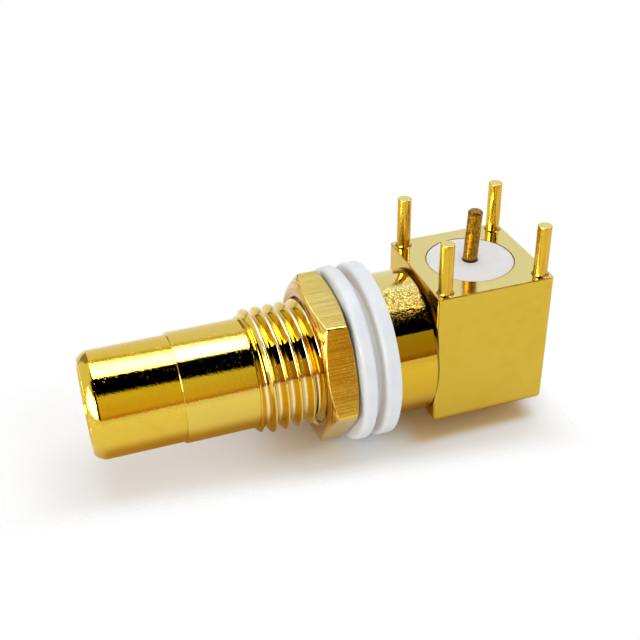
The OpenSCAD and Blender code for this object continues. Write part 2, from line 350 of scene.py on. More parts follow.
def part_place(tree):
    """A point of the part in millimetres."""
    return dimmed(tree.nodes.new("ShaderNodeTexCoord").outputs["Object"], 1 / MM)


def parted(vector):
    """The three numbers of a vector."""
    node = tree_of(vector).nodes.new("ShaderNodeSeparateXYZ")
    plug(node.inputs[0], vector)
    return node.outputs["X"], node.outputs["Y"], node.outputs["Z"]


def facing(place, axis):
    """How far the surface at a place faces along X, Y or Z, from -1 to 1."""
    normal = tree_of(place).nodes.new("ShaderNodeNewGeometry").outputs["Normal"]
    return parted(normal)["XYZ".index(axis)]


def grain(place, cells, detail=2.0, rough=0.5):
    """Noise with this many cells a millimetre, or with its own number along each axis."""
    tree = tree_of(place)
    stretch = tree.nodes.new("ShaderNodeVectorMath")
    stretch.operation = "MULTIPLY"
    plug(stretch.inputs[0], place)
    stretch.inputs[1].default_value = cells if isinstance(cells, tuple) else (cells,) * 3
    noise = tree.nodes.new("ShaderNodeTexNoise")
    for name, number in (("Scale", 1.0), ("Detail", detail), ("Roughness", rough)):
        noise.inputs[name].default_value = number
    plug(noise.inputs["Vector"], stretch.outputs["Vector"])
    return noise.outputs["Fac"]


def raised(shader, height, depth_mm=1.0):
    """Bump from a height in millimetres, or from one of 0 to 1 that is this deep."""
    bump = tree_of(height).nodes.new("ShaderNodeBump")
    bump.inputs["Strength"].default_value = 1.0
    bump.inputs["Distance"].default_value = depth_mm * MM
    plug(bump.inputs["Height"], height)
    plug(shader.inputs["Normal"], bump.outputs["Normal"])


# Finishes

def bare_metal(name):
    """A metal before its colour, and the place on the part that its finish goes by."""
    material, tree, shader = new_material(name)
    shader.inputs["Metallic"].default_value = 1.0
    return material, shader, part_place(tree)


def plated(name, finishes):
    """Gold plate with faint warmer patches: its material and the colour to finish."""
    material, shader, place = bare_metal(name)
    patches = ramped(grain(place, 0.9, 3.0), 0.40, 0.75, 0.0, 0.5)
    return material, shader, place, mixed(patches, finishes.gold, finishes.gold_deep)


def thread_glints(sizes, radius, face_z):
    """Where pale glints are painted on the thread: on its crests above and in its roots below."""
    crest_r = sizes.thread_radius / MM
    root_r = crest_r - thread_depth(sizes) / MM
    crests = product(ramped(radius, crest_r - 0.12, crest_r - 0.03),
                     ramped(face_z, 0.2, 0.5, 0.15, 0.8))
    roots = product(ramped(radius, root_r + 0.10, root_r + 0.04),
                    band(face_z, -0.5, -0.3, 0.25, 0.45, 0.8))
    return arithmetic("MAXIMUM", crests, roots)


def turned_gold(finishes, sizes):
    """Gold on the turned shell: tool rings on barrel and shank, painted glints on the thread, a pitted collar
    with a painted sheen on top, and painted shade next to the block.
    """
    material, shader, place, tone = plated("turned_gold", finishes)
    along, across, up = parted(place)
    face_z = facing(place, "Z")
    step_x = (SHELL_LOW.x + sizes.barrel_length) / MM
    thread_x = thread_start(sizes) / MM
    collar_x = REAR_WASHER_HIGH.x / MM
    joint_x = BLOCK_LOW.x / MM
    edge = 0.05
    threaded = ramped(along, thread_x, thread_x + edge)
    shank = product(ramped(along, step_x, step_x + edge), without(threaded))
    collar = ramped(along, collar_x - edge, collar_x)
    # Painted highlight: pale glints on the thread's upward crests and in its roots
    glinting = thread_glints(sizes, hypotenuse(across, up), face_z)
    glinting = product(glinting, threaded, without(collar))
    # Painted sheen on the collar's upward faces
    top_sheen = product(collar, ramped(face_z, 0.66, 0.97, 0.0, 0.9))
    pitted = product(collar, ramped(face_z, 0.64, 0.80), ramped(facing(place, "Y"), 0.0, -0.2))
    spots = ramped(grain(place, 11.0, 1.0), 0.40, 0.62, 0.50, 0.85)
    spots = product(spots, pitted, ramped(face_z, 0.99, 0.94))
    # Painted shade in the joint between the collar and the block
    joint_shade = ramped(along, joint_x - 0.35, joint_x - 0.15, 0.0, 0.85)
    for mask, next_tone in (
        (product(shank, 0.8), finishes.gold_pale), (glinting, finishes.gold_thread_glint),
        (collar, finishes.gold_warm), (top_sheen, finishes.gold_top_sheen),
        (spots, darker(finishes.gold_warm, 0.3)), (joint_shade, finishes.grime_and_shade),
    ):
        tone = mixed(mask, tone, next_tone)
    plug(shader.inputs["Base Color"], tone)

    rings = grain(place, (7.0, 4.0, 4.0), 3.0, 0.6)
    specks = ramped(grain(place, 9.0, 1.0), 0.68, 0.76)
    pits = ramped(grain(place, 7.5, 1.0), 0.46, 0.60)
    marks = product(arithmetic("MULTIPLY_ADD", specks, 0.3, rings),
                    ramped(threaded, 0.0, 1.0, 1.0, 0.2))
    mark_depth = 0.0072
    pit_depth = 0.005
    height = arithmetic("ADD", product(marks, mark_depth), product(pits, pitted, pit_depth))
    plug(shader.inputs["Roughness"], ramped(rings, 0.3, 0.8, 0.015, 0.045))
    raised(shader, height)
    return material


def polished_gold(finishes):
    """Gold on the block and the contact: a painted sheen on top, a painted dark reflection on the upper
    rounded edges, painted shade beside the collar.
    """
    material, shader, place, tone = plated("polished_gold", finishes)
    across, up = parted(place)[1:]
    face_z = facing(place, "Z")
    waves = grain(place, 1.3)
    # Painted dark reflection: amber on the rounded edges that lean up
    edge = band(face_z, 0.1, 0.3, 0.95, 0.98, 0.8)
    # Painted shade on the block's front face beside the collar, on the near side
    corner = product(ramped(facing(place, "X"), -0.80, -0.95), ramped(across, -2.0, -3.5),
                     band(up, 1.0, 3.0, 4.8, 5.8))
    # The whole gold is also dimmed a little, a painted shade for the darker table that it shows
    tone = mixed(edge, dimmed(tone, 0.87), finishes.gold_amber_and_shade)
    tone = dimmed(tone, ramped(corner, 0.0, 1.0, 1.0, 0.2))
    # Painted sheen on the upward faces
    tone = mixed(ramped(face_z, 0.9, 0.99), tone, finishes.gold_top_sheen)
    plug(shader.inputs["Base Color"], tone)
    rough = arithmetic("MULTIPLY_ADD", edge, 0.4, ramped(waves, 0.3, 0.7, 0.08, 0.14))
    plug(shader.inputs["Roughness"], rough)
    raised(shader, grain(place, 14.0, 3.0), 0.0012)
    return material


def drawn_gold(finishes):
    """Gold on the legs: streaks along the drawn wire, a painted sheen on top and painted shade at the foot.
    """
    material, shader, place, tone = plated("drawn_gold", finishes)
    height = parted(place)[2]
    top = BLOCK_HIGH.z / MM
    streaks = grain(place, (6.0, 6.0, 0.3), 3.0, 0.6)
    tone = mixed(0.8, tone, finishes.gold_warm)
    tone = mixed(ramped(streaks, 0.42, 0.66, 0.0, 0.7), tone, finishes.gold_amber_and_shade)
    # Painted sheen on the tops
    tone = mixed(ramped(facing(place, "Z"), 0.9, 0.99), tone, finishes.gold_top_sheen)
    # Painted shade at the foot, where the leg meets the block
    foot = ramped(height, top + 0.16, top + 0.03, 0.0, 0.75)
    plug(shader.inputs["Base Color"], mixed(foot, tone, finishes.grime_and_shade))
    plug(shader.inputs["Roughness"], ramped(streaks, 0.3, 0.7, 0.10, 0.25))
    raised(shader, streaks, 0.007)
    return material


def brushed_brass(finishes):
    """Brass with brush lines along the flats and tool rings on the faces, a painted sheen on the upward flats
    and painted shade round the bore and along the back edge.
    """
    material, shader, place = bare_metal("brushed_brass")
    along, across, up = parted(place)
    radius = hypotenuse(across, up)
    face_z = facing(place, "Z")
    face = ramped(apart(facing(place, "X")), 0.5, 0.8)
    joined = tree_of(radius).nodes.new("ShaderNodeCombineXYZ")
    plug(joined.inputs["X"], radius)
    rings = grain(joined.outputs["Vector"], (7.0, 0.0, 0.0), 3.0, 0.7)
    lines = grain(place, (0.12, 9.0, 9.0), 3.0, 0.6)
    specks = ramped(grain(place, 7.0), 0.60, 0.72)
    marks = arithmetic("MULTIPLY_ADD", specks, 0.3, mixed(face, lines, rings))
    # Painted sheen on the flats that face up; below, those flats are also dimmed a little
    top_sheen = product(ramped(face_z, 0.6, 0.98), ramped(marks, 0.35, 0.75, 0.35, 1.0))
    # Painted shade on the faces round the bore, next to the thread
    bore_shade = product(face, ramped(radius, 6.3, 5.3, 0.0, 0.65))
    back_x = NUT_HIGH.x / MM
    # Painted shade along the back edge next to the washer, left off the flats that face up
    back_edge_shade = product(ramped(along, back_x - 0.30, back_x - 0.12, 0.0, 0.7),
                   ramped(face_z, 0.8, 0.6))
    worn = product(face, ramped(rings, 0.50, 0.60, 0.0, 0.85))
    tone = mixed(ramped(marks, 0.35, 0.65), finishes.brass_deep, finishes.brass)
    tone = mixed(top_sheen, tone, finishes.gold_top_sheen)
    tone = dimmed(tone, ramped(face_z, 0.6, 0.98, 1.0, 0.88))
    tone = mixed(product(face, 0.15), tone, finishes.brass_bare)
    tone = mixed(bore_shade, tone, finishes.gold_amber_and_shade)
    tone = mixed(arithmetic("MAXIMUM", worn, back_edge_shade), tone, finishes.grime_and_shade)
    plug(shader.inputs["Base Color"], tone)
    plug(shader.inputs["Roughness"], ramped(face, 0.0, 1.0, 0.19, 0.14))
    raised(shader, marks, 0.005)
    return material


def mottled_bronze(finishes):
    """Dull bronze with streaks and painted shade in a ring under its tip and at its foot."""
    material, shader, place = bare_metal("mottled_bronze")
    height = parted(place)[2]
    tip = PIN_HIGH.z / MM
    foot = BUSH_HIGH.z / MM
    streaks = grain(place, (7.0, 7.0, 3.5), 4.0, 0.65)
    fine = grain(place, (9.0, 9.0, 7.0), 3.0, 0.6)
    # Painted shade: a dark ring just under the tip
    ring = band(height, tip - 0.30, tip - 0.20, tip - 0.10, tip - 0.05)
    tone = mixed(ramped(streaks, 0.36, 0.64), finishes.bronze_deep, finishes.bronze)
    tone = mixed(ring, tone, finishes.bronze_deep)
    # Painted shade at the foot, where the pin stands in the bush
    tone = dimmed(tone, ramped(height, foot + 0.10, foot + 0.28, 0.12, 1.0))
    plug(shader.inputs["Base Color"], tone)
    plug(shader.inputs["Roughness"], ramped(fine, 0.3, 0.7, 0.22, 0.42))
    raised(shader, fine, 0.02)
    return material


def white_plastic(name, tint, roughness, depth_mm):
    """White plastic with a faint mould grain: its material and the colour to finish."""
    material, tree, shader = new_material(name)
    place = part_place(tree)
    cloud = grain(place, 0.7, 3.0)
    fine = grain(place, 9.0, 3.0)
    tone = mixed(ramped(cloud, 0.35, 0.7), tint, darker(tint, 0.965))
    plug(shader.inputs["Roughness"], ramped(fine, 0.3, 0.7, roughness - 0.06, roughness + 0.06))
    shader.inputs["Subsurface Weight"].default_value = 0.4
    shader.inputs["Subsurface Radius"].default_value = (0.6 * MM,) * 3
    shader.inputs["Subsurface Scale"].default_value = 1.0
    shader.inputs["Specular IOR Level"].default_value = 0.3
    raised(shader, fine, depth_mm)
    return material, shader, place, tone


def white_insulator(finishes):
    """The insulators' white, with a painted amber shade line in the groove round the bush."""
    material, shader, place, tone = white_plastic("white_insulator", finishes.insulator, 0.62, 0.003)
    top = BUSH_HIGH.z / MM
    # Painted shade: an amber line in the groove round the bush
    groove_shade = band(parted(place)[2], top - 0.6, top - 0.5, top - 0.04, top - 0.01)
    plug(shader.inputs["Base Color"], mixed(groove_shade, tone, finishes.gold_amber_and_shade))
    return material


def white_nylon(finishes):
    """The washers' white, with painted warm shade on the rear one's face in the gap between them."""
    material, shader, place, tone = white_plastic("nylon", finishes.nylon, 0.42, 0.002)
    along, across, up = parted(place)
    front_x = REAR_WASHER_LOW.x / MM
    rim = REAR_WASHER_HIGH.z / MM
    # Painted warm shade on the rear washer's front face, deeper towards the axis
    gap_shade = product(ramped(facing(place, "X"), -0.6, -0.9),
                       ramped(hypotenuse(across, up), rim, rim - 1.0),
                       ramped(along, front_x - 0.2, front_x - 0.1))
    plug(shader.inputs["Base Color"], mixed(gap_shade, tone, finishes.nylon_gap_shade))
    return material


def finish_node(name, material):
    """Gives a CAD node its finish."""
    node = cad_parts[name]
    node.data.materials.clear()
    node.data.materials.append(material)


def finished_piece(name, mesh, material, body, slot, *replaced):
    """Adds a detailed piece that stands for CAD nodes."""
    mesh.materials.append(material)
    piece = bpy.data.objects.new(name, mesh)
    bpy.context.scene.collection.objects.link(piece)
    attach(piece, body)
    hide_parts(*replaced)
    shading = piece.modifiers.new("even_shading", "WEIGHTED_NORMAL")
    shading.keep_sharp = True


# Meshes

def rim_arc(sizes, mouth_x, steps=10, swell=math.radians(18)):
    """Points of the swollen rim from the mouth to the barrel, as station and radius."""
    chord = math.hypot(sizes.rim_length, sizes.rim_drop)
    radius = chord / (2 * math.sin(swell))
    slope = math.atan(sizes.rim_drop / sizes.rim_length)
    angles = [slope + swell - 2 * swell * step / steps for step in range(steps + 1)]
    return [
        (mouth_x + sizes.rim_length - radius * (math.sin(angle) - math.sin(slope - swell)),
         sizes.barrel_radius - radius * (math.cos(slope - swell) - math.cos(angle)))
        for angle in angles
    ]


def thread_section(sizes, root_steps=4, crest_steps=3):
    """One pitch of the thread, from the middle of a root, as offset and height above the root."""
    bend = math.pi / 2 - sizes.flank
    crest_edge = (sizes.pitch - sizes.crest) / 2
    flank_width = crest_edge - (sizes.root_round + sizes.crest_round) * math.sin(bend)
    rounds = (sizes.root_round + sizes.crest_round) * (1 - math.cos(bend))
    depth = rounds + flank_width / math.tan(sizes.flank)
    left = []
    for step in range(1, root_steps + 1):
        angle = bend * step / root_steps
        left.append((sizes.root_round * math.sin(angle), sizes.root_round * (1 - math.cos(angle))))
    for step in range(crest_steps, -1, -1):
        angle = bend * step / crest_steps
        left.append((crest_edge - sizes.crest_round * math.sin(angle),
                     depth - sizes.crest_round * (1 - math.cos(angle))))
    right = [(sizes.pitch - offset, height) for offset, height in reversed(left)]
    return [(0.0, 0.0)] + left + right


def thread_depth(sizes):
    """Height of the thread's crests above its roots."""
    return max(height for offset, height in thread_section(sizes))


def thread_start(sizes):
    """Station at which the thread begins."""
    return SHELL_LOW.x + sizes.barrel_length + sizes.shank_length


def thread_height(section, pitch, offset):
    """Height above the root at an offset into a pitch."""
    offset %= pitch
    closed = section + [(pitch, 0.0)]
    for (low_at, low), (high_at, high) in zip(closed, closed[1:]):
        if low_at <= offset <= high_at:
            return low + (high - low) * (offset - low_at) / (high_at - low_at)
    return 0.0


def thread_points(sizes, turn):
    """Stations and radii along the thread at one turn round the axis, held between its two ends."""
    start_x, end_x = thread_start(sizes), REAR_WASHER_HIGH.x
    section = thread_section(sizes)
    root_radius = sizes.thread_radius - thread_depth(sizes)
    pitches = math.ceil((end_x - start_x) / sizes.pitch) + 1
    lead = (turn + sizes.start) * sizes.pitch
    points = []
    for count in range(-2, pitches):
        for offset, height in section:
            station = start_x + lead + count * sizes.pitch + offset
            if not start_x <= station <= end_x:
                station = min(max(station, start_x), end_x)
                height = thread_height(section, sizes.pitch, station - start_x - lead)
            chamfer = sizes.thread_radius - sizes.thread_lead + (station - start_x)
            points.append((station, min(root_radius + height, chamfer)))
    return points


def plain_shell(sizes):
    """Stations and radii of the shell before its thread, and behind it and back through the bore."""
    mouth_x = SHELL_LOW.x
    shank_x = mouth_x + sizes.barrel_length
    collar_x = REAR_WASHER_HIGH.x
    block_x = collar_x + sizes.collar_length
    end_x = SHELL_HIGH.x
    front = [
        (mouth_x, sizes.lip_radius + sizes.lip_break),
        *rim_arc(sizes, mouth_x),
        (shank_x, sizes.barrel_radius),
        (shank_x, sizes.shank_radius - sizes.step_break),
        (shank_x + sizes.step_break, sizes.shank_radius),
        (thread_start(sizes), sizes.shank_radius),
    ]
    back = [
        (collar_x, sizes.collar_radius),
        (block_x - sizes.collar_break, sizes.collar_radius),
        (block_x, sizes.collar_radius - sizes.collar_break),
        (block_x, sizes.spigot_radius),
        (end_x, sizes.spigot_radius),
        (end_x, sizes.bore_radius),
        (mouth_x + sizes.lip_length, sizes.bore_radius),
        (mouth_x + sizes.lip_length, sizes.lip_radius),
        (mouth_x + sizes.lip_break, sizes.lip_radius),
    ]
    return front, back


def threaded_shell_mesh(sizes, name):
    """The turned shell with its helical thread, as columns of points round the axis."""
    front, back = plain_shell(sizes)
    bm = bmesh.new()
    columns = []
    for step in range(sizes.facets):
        turn = step / sizes.facets
        swing = 2 * math.pi * turn
        columns.append([
            bm.verts.new((station, radius * math.cos(swing), radius * math.sin(swing)))
            for station, radius in front + thread_points(sizes, turn) + back
        ])
    total = len(columns[0])
    first, last = len(front), total - len(back)
    for column, beside in zip(columns, columns[1:] + columns[:1]):
        # At the seam the thread of the first column is one pitch further on
        seam = beside is columns[0]
        shift = len(thread_section(sizes)) if seam else 0
        partner = [min(index + shift, last - 1) if first <= index < last else index for index in range(total)]
        for low in range(total):
            high = (low + 1) % total
            partner_high = first if seam and high == first else partner[high]
            corners = [column[low], column[high], beside[partner_high], beside[partner[low]]]
            if len(set(corners)) == 4:
                bm.faces.new(corners)
    bmesh.ops.dissolve_degenerate(bm, edges=bm.edges, dist=NEAR)
    return shaded(bpy.data.meshes.new(name), bm, sharp_degrees=38)


def shaded(mesh, bm, sharp_degrees):
    """Hands a finished mesh over with smooth faces between its sharp edges."""
    bmesh.ops.remove_doubles(bm, verts=bm.verts, dist=NEAR)
    bmesh.ops.recalc_face_normals(bm, faces=bm.faces)
    bm.to_mesh(mesh)
    bm.free()
    mesh.shade_smooth()
    mesh.set_sharp_from_angle(angle=math.radians(sharp_degrees))
    return mesh


def joined_rows(bm, rows, closed):
    """Faces between rows of points that run round an axis."""
    pairs = zip(rows, rows[1:] + rows[:1]) if closed else zip(rows, rows[1:])
    for below, above in pairs:
        for step in range(len(below)):
            beside = (step + 1) % len(below)
            bm.faces.new([below[step], below[beside], above[beside], above[step]])


def upright_lathe(name, outline, centre, facets, closed=False):
    """A piece turned round an upright axis from heights and radii."""
    bm = bmesh.new()
    turns = [2 * math.pi * step / facets for step in range(facets)]
    ring = [(math.cos(turn), math.sin(turn)) for turn in turns]
    rows = [
        [bm.verts.new((centre.x + radius * x, centre.y + radius * y, z)) for x, y in ring]
        for z, radius in outline
    ]
    joined_rows(bm, rows, closed)
    return shaded(bpy.data.meshes.new(name), bm, sharp_degrees=40)


def rounded_outline(round_off, reach, steps):
    """Points round the block whose corners are arcs of this reach about fixed centres."""
    low, high = BLOCK_LOW, BLOCK_HIGH
    centres = (
        (high.x - round_off, high.y - round_off), (low.x + round_off, high.y - round_off),
        (low.x + round_off, low.y + round_off), (high.x - round_off, low.y + round_off),
    )
    points = []
    for quarter, (x, y) in enumerate(centres):
        for step in range(steps + 1):
            turn = math.pi / 2 * (quarter + step / steps)
            points.append((x + reach * math.cos(turn), y + reach * math.sin(turn)))
    return points


def block_blank(sizes, steps=8):
    """The block before boring, round on its upright and lower edges and sharp round the board face."""
    round_off = sizes.corner_round
    levels = []
    for step in range(steps + 1):
        swing = math.pi / 2 * step / steps
        levels.append((BLOCK_LOW.z + sizes.base_round * (1 - math.cos(swing)), round_off * math.sin(swing)))
    levels += [(BLOCK_HIGH.z - sizes.top_break, round_off), (BLOCK_HIGH.z, round_off - sizes.top_break)]
    bm = bmesh.new()
    rows = []
    for z, reach in levels:
        rows.append([bm.verts.new((x, y, z)) for x, y in rounded_outline(round_off, reach, steps)])
    joined_rows(bm, rows, closed=False)
    bm.faces.new(reversed(rows[0]))
    bm.faces.new(rows[-1])
    return shaded(bpy.data.meshes.new("block_blank"), bm, sharp_degrees=30)


def bored(blank, cutters, name):
    """The blank without the room that the cutters take."""
    collection = bpy.context.scene.collection
    piece = bpy.data.objects.new(name, blank)
    collection.objects.link(piece)
    tools = []
    for cutter in cutters:
        tool = bpy.data.objects.new(cutter.name, cutter)
        collection.objects.link(tool)
        tools.append(tool)
        bore = piece.modifiers.new(cutter.name, "BOOLEAN")
        bore.operation = "DIFFERENCE"
        bore.solver = "EXACT"
        bore.object = tool
    result = bpy.data.meshes.new_from_object(piece.evaluated_get(bpy.context.evaluated_depsgraph_get()))
    for item in (piece, *tools):
        bpy.data.objects.remove(item)
    bm = bmesh.new()
    bm.from_mesh(result)
    return shaded(bpy.data.meshes.new(name), bm, sharp_degrees=30)


def block_mesh(sizes, name):
    """The milled block with its bores for spigot, bush, pin and legs."""
    past = 1 * MM
    chamber_end = BLOCK_HIGH.x - sizes.rear_wall
    along_axis = upright_lathe("axis_bore", [
        (BLOCK_LOW.x - past, 0.0), (BLOCK_LOW.x - past, sizes.spigot_bore), (SHELL_HIGH.x, sizes.spigot_bore),
        (SHELL_HIGH.x, sizes.chamber_radius), (chamber_end, sizes.chamber_radius), (chamber_end, 0.0),
    ], Vector(), sizes.facets)
    along_axis.transform(Matrix.Rotation(math.pi / 2, 4, "Y"))
    top = BLOCK_HIGH.z + past
    cutters = [along_axis, upright_lathe("bush_bore", [
        (0.0, 0.0), (0.0, sizes.pin_way), (BUSH_LOW.z, sizes.pin_way),
        (BUSH_LOW.z, sizes.bush_bore), (top, sizes.bush_bore), (top, 0.0),
    ], (BLOCK_LOW + BLOCK_HIGH) / 2, sizes.facets)]
    for leg in LEGS:
        low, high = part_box(leg)
        outline = [(low.z, 0.0), (low.z, sizes.leg_bore), (top, sizes.leg_bore), (top, 0.0)]
        cutters.append(upright_lathe(leg + "_bore", outline, (low + high) / 2, sizes.facets // 4))
    return bored(block_blank(sizes), cutters, name)


def leg_mesh(sizes, name, low, high, steps=6):
    """A round leg with a hollow fillet at the block and a rounded top."""
    face_z = BLOCK_HIGH.z
    outline = [(low.z, 0.0), (low.z, sizes.spigot_radius), (face_z, sizes.spigot_radius)]
    turns = [math.pi / 2 * step / steps for step in range(steps + 1)]
    for turn in turns:
        outline.append((face_z + sizes.foot * (1 - math.cos(turn)),
                        sizes.radius + sizes.foot * (1 - math.sin(turn))))
    for turn in turns:
        outline.append((high.z - sizes.tip * (1 - math.sin(turn)),
                        sizes.radius - sizes.tip * (1 - math.cos(turn))))
    outline.append((high.z, 0.0))
    return upright_lathe(name, outline, (low + high) / 2, sizes.facets)


def bush_mesh(sizes, name, low, high):
    """The white bush, with a small chamfer against the block."""
    radius = (high.x - low.x) / 2
    outline = [
        (low.z, sizes.hole_radius), (low.z, radius), (high.z - sizes.edge_break, radius),
        (high.z, radius - sizes.edge_break), (high.z, sizes.hole_radius),
    ]
    return upright_lathe(name, outline, (low + high) / 2, sizes.facets, closed=True)


def hexagon(sizes, arc_steps=8, flat_steps=10):
    """Points of the nut's outline round the axis, with rounded corners."""
    points = []
    centre_radius = sizes.corner_radius - sizes.corner_round / math.cos(math.pi / 6)
    for corner in range(6):
        turn = sizes.turn + corner * math.pi / 3
        centre = Vector((math.sin(turn), -math.cos(turn))) * centre_radius
        for step in range(arc_steps + 1):
            swing = turn + math.pi / 3 * (step / arc_steps - 0.5)
            points.append(centre + Vector((math.sin(swing), -math.cos(swing))) * sizes.corner_round)
        following = turn + math.pi / 3
        swing = following - math.pi / 6
        start = points[-1]
        end = Vector((math.sin(following), -math.cos(following))) * centre_radius
        end += Vector((math.sin(swing), -math.cos(swing))) * sizes.corner_round
        points += [start.lerp(end, step / flat_steps) for step in range(1, flat_steps)]
    return points


def nut_mesh(sizes, name):
    """The hex nut, chamfered on both faces, with worn corners and edges."""
    front, back = NUT_LOW.x, NUT_HIGH.x
    edge = sizes.edge_break
    rise = math.tan(sizes.slope)
    columns = []
    bm = bmesh.new()
    for point in hexagon(sizes):
        reach = point.length
        wall_chamfer = (reach - sizes.face_radius) * rise + edge
        half = [
            (sizes.bore_break, sizes.bore_radius),
            (0.0, sizes.bore_radius + sizes.bore_break),
            (0.0, sizes.face_radius - edge),
            (edge * rise, sizes.face_radius + edge),
            ((reach - edge - sizes.face_radius) * rise, reach - edge),
            (wall_chamfer, reach),
        ]
        profile = [(front + depth, radius) for depth, radius in half]
        profile += [(back - depth, radius) for depth, radius in reversed(half)]
        outward = point.normalized()
        columns.append([bm.verts.new((x, outward.x * radius, outward.y * radius)) for x, radius in profile])
    joined_rows(bm, [list(row) for row in zip(*columns)], closed=True)
    return shaded(bpy.data.meshes.new(name), bm, sharp_degrees=50)


# Operators

class SOCKET_OT_shell(bpy.types.Operator):
    """Build the turned shell with its thread"""

    bl_idname = "socket.shell"
    bl_label = "Turned Shell"

    def execute(self, context):
        settings = context.scene.socket
        material = turned_gold(settings.finishes, settings.shell)
        mesh = threaded_shell_mesh(settings.shell, "turned_shell")
        finished_piece("turned_shell", mesh, material, "socket", "gold_plate", "shell")
        return {"FINISHED"}


class SOCKET_OT_block(bpy.types.Operator):
    """Build the block and plate the centre contact"""

    bl_idname = "socket.block"
    bl_label = "Block and Contact"

    def execute(self, context):
        settings = context.scene.socket
        material = polished_gold(settings.finishes)
        mesh = block_mesh(settings.block, "milled_block")
        finished_piece("milled_block", mesh, material, "socket", "gold_plate", "block")
        finish_node("centre_contact", material)
        return {"FINISHED"}


class SOCKET_OT_legs(bpy.types.Operator):
    """Build the four board legs"""

    bl_idname = "socket.legs"
    bl_label = "Board Legs"

    def execute(self, context):
        settings = context.scene.socket
        material = drawn_gold(settings.finishes)
        for name in LEGS:
            mesh = leg_mesh(settings.leg, name + "_turned", *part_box(name))
            finished_piece(name + "_turned", mesh, material, "socket", "gold_plate", name)
        return {"FINISHED"}


class SOCKET_OT_signal_pin(bpy.types.Operator):
    """Give the signal pin its dull bronze"""

    bl_idname = "socket.signal_pin"
    bl_label = "Signal Pin"

    def execute(self, context):
        finish_node("signal_pin", mottled_bronze(context.scene.socket.finishes))
        return {"FINISHED"}


class SOCKET_OT_insulators(bpy.types.Operator):
    """Give the insulators their matte white"""

    bl_idname = "socket.insulators"
    bl_label = "Insulators"

    def execute(self, context):
        settings = context.scene.socket
        material = white_insulator(settings.finishes)
        for name in ("front_insulator", "rear_insulator"):
            finish_node(name, material)
        mesh = bush_mesh(settings.bush, "pin_bush_turned", BUSH_LOW, BUSH_HIGH)
        finished_piece("pin_bush_turned", mesh, material, "socket", "white_insulator", "pin_bush")
        return {"FINISHED"}


class SOCKET_OT_washers(bpy.types.Operator):
    """Give the washers their satin white"""

    bl_idname = "socket.washers"
    bl_label = "Washers"

    def execute(self, context):
        material = white_nylon(context.scene.socket.finishes)
        for name in ("front_washer", "rear_washer"):
            finish_node(name, material)
        return {"FINISHED"}


class SOCKET_OT_nut(bpy.types.Operator):
    """Build the nut of brushed brass"""

    bl_idname = "socket.nut"
    bl_label = "Hex Nut"

    def execute(self, context):
        settings = context.scene.socket
        material = brushed_brass(settings.finishes)
        mesh = nut_mesh(settings.nut, "brushed_nut")
        finished_piece("brushed_nut", mesh, material, "nut", "brushed_brass", "hex_nut")
        return {"FINISHED"}


# Stage

def against(ways, normal):
    """How far a direction leans to one side of a plane through the part."""
    result = 0.0
    for way, weight in zip(ways, Vector(normal).normalized()):
        result = arithmetic("MULTIPLY_ADD", way, weight, result)
    return result


def warm_screen(studio, along, up):
    """Colour of the screen in front, amber at its foot and dimmer beside the collar."""
    tone = mixed(ramped(up, 0.02, 0.22), studio.card_low, studio.card)
    tone = mixed(ramped(up, 0.30, 0.70), tone, studio.card_high)
    fall = ramped(along, 0.14, 0.34, 1.0, 0.58)
    rise = ramped(along, 0.40, 0.60, 0.0, 0.25)
    return dimmed(tone, arithmetic("ADD", fall, rise))


def room_around(tree, studio):
    """What metal shows: a long overhead light, a warm screen in front and a low light beyond the mouth."""
    along, across, up = parted(tree.nodes.new("ShaderNodeTexCoord").outputs["Generated"])
    ways = (arithmetic("MINIMUM", along, 0.3), across, up)
    soft = 0.006
    past_screen = ramped(against(ways, (0.8, 1.0, 0.756)), -soft, soft)
    near_key = ramped(against(ways, (0.6, 1.0, -0.05)), -soft, soft)
    key_end = against(ways, (-1.6, -1.0, 0.85))
    above = ramped(up, -0.005, 0.02)
    behind_mouth = ramped(along, -0.52, -0.42)
    key_gap = arithmetic("ADD", ramped(along, 0.235, 0.20), ramped(along, 0.40, 0.46))
    key = product(near_key, ramped(key_end, -0.04, 0.13), ramped(up, 0.30, 0.40),
                  ramped(along, -0.10, -0.02), key_gap)
    frame_line = product(near_key, band(key_end, -0.16, -0.10, -0.06, -0.02))
    dark = product(past_screen, without(near_key), above, behind_mouth)
    screen = product(without(past_screen), above, ramped(across, -0.1, -0.3))
    unlit_back = product(ramped(across, 0.68, 0.74), above, ramped(along, -0.02, -0.12),
                         behind_mouth, ramped(up, 0.72, 0.62))
    unlit_front = product(ramped(across, 0.12, -0.02), above,
                          band(along, -0.70, -0.62, -0.28, -0.06))
    side = product(ramped(along, -0.62, -0.70), above, ramped(up, 0.60, 0.52),
                   ramped(across, 0.10, -0.10))
    black = (0.0, 0.0, 0.0)
    room = studio.backdrop
    for mask, tone in (
        (frame_line, studio.frame_line), (unlit_back, studio.unlit),
        (screen, warm_screen(studio, along, up)), (unlit_front, black), (dark, black),
        (side, (studio.side,) * 3), (key, (studio.key,) * 3),
    ):
        room = mixed(mask, room, tone)
    return room


def studio_room(studio):
    """A pale studio for the metal, plain white for the camera.

    Matte surfaces get only an even light from it, since lamps give them the rest."""
    world = bpy.data.worlds.new("studio_room")
    world.use_nodes = True
    tree = world.node_tree
    tree.nodes.clear()
    rays = tree.nodes.new("ShaderNodeLightPath").outputs
    matte = arithmetic("GREATER_THAN", rays["Diffuse Depth"], 0.5)
    seen = mixed(matte, room_around(tree, studio), studio.fill)
    seen = mixed(rays["Is Camera Ray"], seen, (1.0, 1.0, 1.0))
    background = tree.nodes.new("ShaderNodeBackground")
    tree.links.new(seen, background.inputs["Color"])
    output = tree.nodes.new("ShaderNodeOutputWorld")
    tree.links.new(background.outputs["Background"], output.inputs["Surface"])
    world.cycles.sampling_method = "NONE"
    bpy.context.scene.world = world


